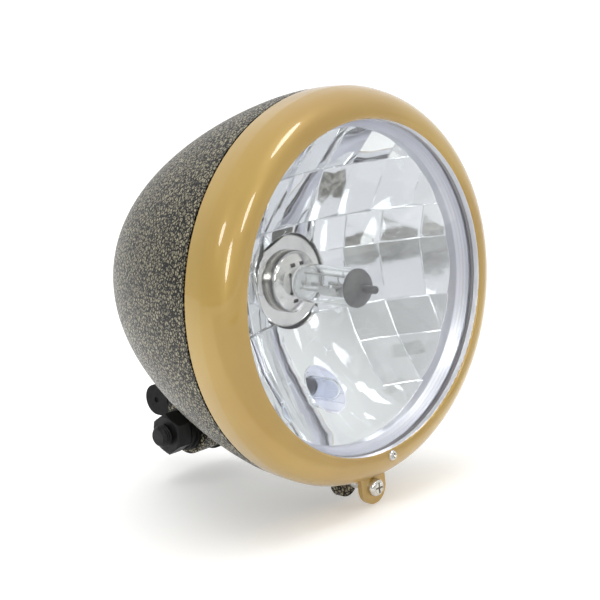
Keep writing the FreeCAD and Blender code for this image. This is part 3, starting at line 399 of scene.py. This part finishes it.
def dressNodes():
    assign(makeGoldPaint(), "trim_ring")
    assign(makeHammerPaint(), "shell")
    assign(makeFinish(brightSteel), "trim_screw", "rim_screw")
    assign(makeFinish(mouldedRubber), "cable_grommet", "lens_gasket", "dust_boot")
    assign(makeLensGlass(), "lens")
    assign(makeMirrorCoat(), "reflector")
    assign(makeFinish(springSteel), "retainer_clips", "bulb_clip")
    assign(makeBulbGlass(), "bulb_glass")
    assign(makeBulbMetal(), "bulb_collar", "bulb_flange")
    assign(makeFinish(frameMetal), "filament_frame", "filaments")
    assign(makeFinish(basePlastic), "bulb_base")
    assign(makeFinish(bladeBrass), "bulb_terminals", "pilot_terminals")
    assign(makePilotGlass(), "pilot_bulb")
    assign(makeFinish(holderNylon), "pilot_holder")
    assign(makeFinish(powderCoat), "mount_bracket")
    assign(makeFinish(blackOxide), "mount_bolt", "mount_nut", "spring_washer", "nut_washer", "head_washer")
    print("materials on", len(nodes), "nodes")


# facet edges: the small moulded radius along every edge between the mirror's facets
facetEdges = {"radius": 0.36, "merge": 0.002, "sharp": 2.5, "smooth": 50.0, "inner": 20.8, "outer": 65.3,
              "vertex": 47.4, "focal": 32.8, "behind": 1.2}


def makeFacetEdges():
    bpy.ops.object.select_all(action="DESELECT")
    mirror = nodes["reflector"]
    bpy.context.view_layer.objects.active = mirror
    mirror.select_set(True)
    bpy.ops.object.duplicate()
    edges = bpy.context.object
    edges.name = "facetEdges"
    bpy.ops.object.mode_set(mode="EDIT")
    bpy.ops.mesh.select_mode(type="EDGE")
    bpy.ops.mesh.select_all(action="SELECT")
    bpy.ops.mesh.remove_doubles(threshold=facetEdges["merge"] * mm)
    bpy.ops.mesh.select_all(action="DESELECT")
    bpy.ops.mesh.edges_select_sharp(sharpness=math.radians(facetEdges["sharp"]))
    bpy.ops.object.mode_set(mode="OBJECT")
    mesh = edges.data
    for edge in mesh.edges:  # only what lies on the front of the facets stays selected
        for corner in edge.vertices:
            spot = mesh.vertices[corner].co
            reach = math.hypot(spot.x - lensAxis.x, spot.z - lensAxis.z) / mm
            depth = (spot.y - lensPlane) / mm
            bowl = facetEdges["vertex"] - reach ** 2 / (4 * facetEdges["focal"])
            if not facetEdges["inner"] < reach < facetEdges["outer"] or depth > bowl + facetEdges["behind"]:
                edge.select = False
    bpy.ops.object.mode_set(mode="EDIT")
    bpy.ops.mesh.select_all(action="INVERT")
    bpy.ops.mesh.delete(type="EDGE")
    bpy.ops.object.mode_set(mode="OBJECT")
    bpy.ops.object.convert(target="CURVE")
    edges.data.bevel_depth = facetEdges["radius"] * mm
    edges.data.bevel_resolution = 1
    edges.data.use_fill_caps = True
    bpy.ops.object.convert(target="MESH")
    edges = bpy.context.object
    edges.data.materials.clear()
    edges.data.materials.append(mirror.data.materials[0])
    bpy.ops.object.shade_smooth_by_angle(angle=math.radians(facetEdges["smooth"]))
    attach(edges, "lamp")
    print("facet edges:", len(edges.data.polygons), "faces")


# bolt thread: the rolled ridge on the end of the bolt that stands out of the nut, M10 x 1.25
boltThread = {"pitch": 1.25, "turns": 3, "steps": 40, "crest": 5.0, "height": 0.55, "width": 1.0, "smooth": 40.0,
              "start": (-37.5, -22.0, -5.7)}


def makeBoltThread():
    bpy.ops.object.select_all(action="DESELECT")
    bpy.ops.mesh.primitive_circle_add(vertices=3, radius=1.0 * mm, rotation=(math.pi / 2, 0.0, 0.0))
    thread = bpy.context.object
    thread.name = "boltThread"
    bpy.ops.object.transform_apply(location=False, rotation=True, scale=False)
    wide = boltThread["width"] / math.sqrt(3)  # the triangle in a circle of 1 mm is the root of 3 wide
    tall = boltThread["height"] / 1.5  # and 1.5 mm tall
    bpy.ops.object.mode_set(mode="EDIT")
    bpy.ops.mesh.select_all(action="SELECT")
    bpy.ops.transform.resize(value=(wide, 1.0, tall), center_override=(0.0, 0.0, 0.0))
    bpy.ops.transform.translate(value=(0.0, 0.0, (boltThread["crest"] - tall) * mm))
    bpy.ops.object.mode_set(mode="OBJECT")
    helix = thread.modifiers.new("helix", "SCREW")
    helix.axis = "X"
    helix.screw_offset = boltThread["pitch"] * mm
    helix.iterations = boltThread["turns"]
    helix.steps = boltThread["steps"]
    helix.render_steps = boltThread["steps"]
    bpy.ops.object.modifier_apply(modifier="helix")
    bpy.ops.object.mode_set(mode="EDIT")
    bpy.ops.mesh.select_all(action="SELECT")
    bpy.ops.mesh.fill_holes(sides=0)
    bpy.ops.mesh.normals_make_consistent(inside=False)
    bpy.ops.transform.translate(value=[value * mm for value in boltThread["start"]])
    bpy.ops.object.mode_set(mode="OBJECT")
    bpy.ops.object.shade_smooth_by_angle(angle=math.radians(boltThread["smooth"]))
    thread.data.materials.append(nodes["mount_bolt"].data.materials[0])
    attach(thread, "bracket")
    print("thread cut:", len(thread.data.polygons), "faces")


# studio: a light table under a tent of white panels that is darker on the left, with a soft light in its roof
studio = {"floorSize": 40.0, "floorGap": 1.0, "floor": "#F6F6F5", "floorShade": "#F2F2F1", "fibre": 40.0, "glow": 0.3,
          "base": 0.76, "lean": (0.28, 0.16, 0.30), "panels": 2.6, "panelLow": 0.76, "panelHigh": 1.04,
          "roof": 1.0, "roofHeight": 1.2, "roofRadiance": 2.0}
# light goes through the lens, round the mirror and out again, so its paths are long
lightPaths = {"max_bounces": 32, "transmission_bounces": 24, "glossy_bounces": 12, "diffuse_bounces": 8,
              "blur_glossy": 0.0}


def makeFloor():
    bpy.ops.object.select_all(action="DESELECT")
    low = cadBox[0].z - studio["floorGap"] * mm
    bpy.ops.mesh.primitive_plane_add(size=studio["floorSize"], location=(lensAxis.x, 0.0, low))
    floor = bpy.context.object
    floor.name = "paleFloor"
    material, tree, shader, place = startMaterial("paleBoard", {
        "Roughness": 0.7, "Specular IOR Level": 0.2, "Emission Color": toLinear(studio["floor"]),
        "Emission Strength": studio["glow"]})
    fibre = addNode(tree, "ShaderNodeTexNoise", {"Scale": perMetre(studio["fibre"]), "Detail": 4.0},
                    {"Vector": place})
    tone = addNode(tree, "ShaderNodeValToRGB", {"stops": [(0.2, toLinear(studio["floorShade"])),
                                                        (0.8, toLinear(studio["floor"]))]},
                   {"Fac": fibre.outputs["Fac"]})
    tree.links.new(tone.outputs["Color"], shader.inputs["Base Color"])
    floor.data.materials.append(material)


def makeTent():
    world = bpy.data.worlds.new("whiteTent")
    world.use_nodes = True
    tree = world.node_tree
    tree.nodes.clear()
    way = addNode(tree, "ShaderNodeTexCoord").outputs["Generated"]
    lean = addNode(tree, "ShaderNodeVectorMath", {"operation": "DOT_PRODUCT", 1: studio["lean"]}, {0: way})
    slope = addNode(tree, "ShaderNodeMath", {"operation": "ADD", 1: studio["base"]}, {0: lean.outputs["Value"]})
    cells = addNode(tree, "ShaderNodeTexVoronoi", {"Scale": studio["panels"]}, {"Vector": way})
    panel = addNode(tree, "ShaderNodeMapRange", {"To Min": studio["panelLow"], "To Max": studio["panelHigh"]},
                    {"Value": cells.outputs["Color"]})
    strength = addNode(tree, "ShaderNodeMath", {"operation": "MULTIPLY"},
                       {0: slope.outputs["Value"], 1: panel.outputs["Result"]})
    light = addNode(tree, "ShaderNodeBackground", {"Color": white}, {"Strength": strength.outputs["Value"]})
    addNode(tree, "ShaderNodeOutputWorld", links={"Surface": light.outputs["Background"]})
    scene.world = world
    scene.view_settings.view_transform = "Standard"
    bpy.ops.object.light_add(type="AREA", location=(lensAxis.x, 0.0, studio["roofHeight"]))
    roof = bpy.context.object
    roof.name = "roof"
    roof.data.size = studio["roof"]
    roof.data.energy = studio["roofRadiance"] * math.pi * studio["roof"] ** 2
    roof.visible_glossy = False
    for name, value in lightPaths.items():
        setattr(scene.cycles, name, value)


# slits between the tent's panels: the two directions, seen from the lens, that each one runs between
slits = {"reach": 1.2, "width": 0.2, "radiance": 9.0,
         "runs": [((0.27, -0.32, 0.91), (-0.04, -0.60, 0.80)), ((-0.17, -0.80, 0.57), (-0.35, -0.86, 0.38)),
                  ((-0.75, -0.11, 0.65), (-0.87, -0.08, 0.49)), ((-0.65, -0.61, 0.45), (-0.76, -0.62, 0.16))]}


def makeSlits():
    eye = Vector((lensAxis.x, lensPlane, lensAxis.z))
    for index, (start, end) in enumerate(slits["runs"]):
        first = eye + Vector(start).normalized() * slits["reach"]
        last = eye + Vector(end).normalized() * slits["reach"]
        middle = (first + last) / 2
        along = (last - first).normalized()
        back = (middle - eye).normalized()
        back = (back - along * back.dot(along)).normalized()
        turn = Matrix((along, back.cross(along), back)).transposed()
        bpy.ops.object.light_add(type="AREA", location=middle, rotation=turn.to_euler())
        lamp = bpy.context.object
        lamp.name = "slit" + str(index)
        lamp.data.shape = "ELLIPSE"
        lamp.data.size = (last - first).length
        lamp.data.size_y = slits["width"]
        lamp.data.energy = slits["radiance"] * math.pi * lamp.data.size * lamp.data.size_y
        lamp.visible_diffuse = False  # only the gloss shows them


# grey cards seen only in bright surfaces: centre, size, turn about Z, and the two tones they drift between
cards = {"mat": ((-0.1, -1.1, -0.0270), (2.4, 1.88), 0.0, "#DADAE0", "#E6E6EA"),
         "farStrip": ((-0.265, -0.700, -0.0265), (0.44, 0.15), -26.0, "#70706D", "#A6A6A4"),
         "nearRight": ((-0.0044, -0.2588, -0.0260), (0.032, 0.0088), -13.4, "#64625E", "#83817D"),
         "nearMiddle": ((-0.0397, -0.2629, -0.0260), (0.037, 0.0088), -22.0, "#64625E", "#878581"),
         "nearLeft": ((-0.0847, -0.2545, -0.0260), (0.026, 0.012), -22.0, "#7A7874", "#A3A19E"),
         "sideCard": ((0.068, -0.1855, -0.0260), (0.03, 0.0105), 0.0, "#55524B", "#9A9892"),
         "cornerCard": ((0.130, -0.217, -0.0260), (0.05, 0.03), 40.0, "#302E2B", "#4A4844")}
cardPatches = 4.0  # patches of tone across each card


def makeCards():
    for name, (centre, size, turn, dark, pale) in cards.items():
        material, tree, shader, place = startMaterial(name + "Paper", {"Roughness": 0.9})
        drift = addNode(tree, "ShaderNodeTexNoise", {"Scale": cardPatches, "Detail": 2.0}, {"Vector": place})
        tone = addNode(tree, "ShaderNodeValToRGB", {"stops": [(0.4, toLinear(dark)), (0.6, toLinear(pale))]},
                       {"Fac": drift.outputs["Fac"]})
        tree.links.new(tone.outputs["Color"], shader.inputs["Base Color"])
        bpy.ops.object.select_all(action="DESELECT")
        bpy.ops.mesh.primitive_plane_add(size=1.0, location=centre, rotation=(0.0, 0.0, math.radians(turn)))
        card = bpy.context.object
        card.name = name
        card.scale = (size[0], size[1], 1.0)
        card.data.materials.append(material)
        card.visible_camera = False
        card.visible_diffuse = False
        card.visible_shadow = False


# camera: the photograph's place, aim, roll and field
photoCamera = {"place": (-0.65287, -0.74267, 0.25245), "target": (-0.03401, -0.11532, 0.06404),
               "up": (0.13053, 0.0, 0.99144), "focal": 132.0, "sensor": 36.0, "nearest": 0.01}


def makeCamera():
    place = Vector(photoCamera["place"])
    back = (place - Vector(photoCamera["target"])).normalized()
    right = Vector(photoCamera["up"]).cross(back).normalized()
    turn = Matrix((right, back.cross(right), back)).transposed()
    bpy.ops.object.camera_add(location=place, rotation=turn.to_euler())
    camera = bpy.context.object
    camera.name = "photoCamera"
    camera.data.lens = photoCamera["focal"]
    camera.data.sensor_width = photoCamera["sensor"]
    camera.data.clip_start = photoCamera["nearest"]
    scene.camera = camera


dressNodes()
makeFacetEdges()
makeBoltThread()
makeFloor()
makeTent()
makeSlits()
makeCards()
makeCamera()
print("stage set")
